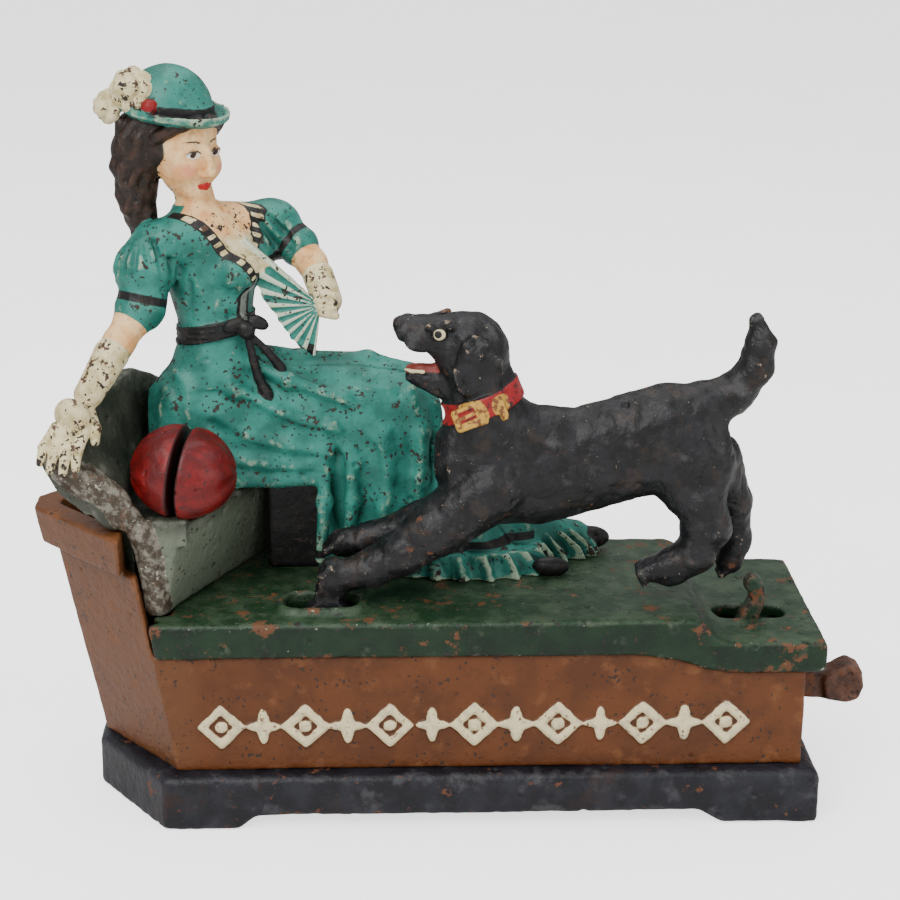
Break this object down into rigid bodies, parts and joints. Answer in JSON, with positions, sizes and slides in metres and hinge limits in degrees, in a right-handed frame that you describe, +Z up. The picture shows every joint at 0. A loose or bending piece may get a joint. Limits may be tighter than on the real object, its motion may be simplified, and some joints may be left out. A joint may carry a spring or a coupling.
{
  "type": "mechanical coin bank",
  "caption": "Cast iron mechanical coin bank: a lady on a bench, a slotted purse that takes a coin, and a sprung dog held by a thumb trigger, on a stepped box with feet.",
  "frame": {"origin": "bottom centre of the whole object's box: mid-length and mid-depth, on the surface that the feet stand on", "axes": "+X to the right along the base towards the trigger, +Y into the depth away from the frieze, +Z up"},
  "size_m": [0.2362, 0.072, 0.2076],
  "materials": {
    "black_paint": "worn satin black over cast iron",
    "brown_paint": "worn satin brown over cast iron",
    "green_paint": "worn satin green over cast iron",
    "grey_paint": "worn matt grey over cast iron",
    "red_paint": "satin red over cast iron",
    "teal_paint": "worn satin teal, cream and flesh over cast iron",
    "dog_black_paint": "worn satin black over cast iron",
    "trigger_paint": "worn brown over cast iron",
    "steel": "plain steel, slightly aged"
  },
  "bodies": {
    "base": {"plinth": "black_paint", "box": "brown_paint", "deck": "green_paint", "bench": "grey_paint", "purse_left": "red_paint", "purse_right": "red_paint", "lady_front": "teal_paint", "lady_rear": "teal_paint", "lady_screws": "steel", "dog_pivot_pin": "steel", "trigger_pin": "steel", "main_spring": "steel", "trigger_spring": "steel", "trigger_spring_screw": "steel", "trap_rivet": "steel", "base_screws": "steel", "bench_screws": "steel"},
    "dog": {"dog_near_half": "dog_black_paint", "dog_far_half": "dog_black_paint", "dog_rivets": "steel"},
    "trigger": {"trigger": "trigger_paint"},
    "trap": {"trap_cover": "black_paint"}
  },
  "joints": [
    {"name": "dog_pounce", "type": "hinge", "parent": "base", "child": "dog", "pos_m": [-0.0355, -0.019, 0.056], "axis": [0, -1, 0], "range_deg": [0, 45], "deforming": ["main_spring"]},
    {"name": "trigger_press", "type": "hinge", "parent": "base", "child": "trigger", "pos_m": [0.086, -0.009, 0.031], "axis": [0, 1, 0], "range_deg": [0, 12], "deforming": ["trigger_spring"]},
    {"name": "trap_swivel", "type": "hinge", "parent": "base", "child": "trap", "pos_m": [0, 0.014, 0.0095], "axis": [0, 0, 1], "range_deg": [0, 110]}
  ]
}
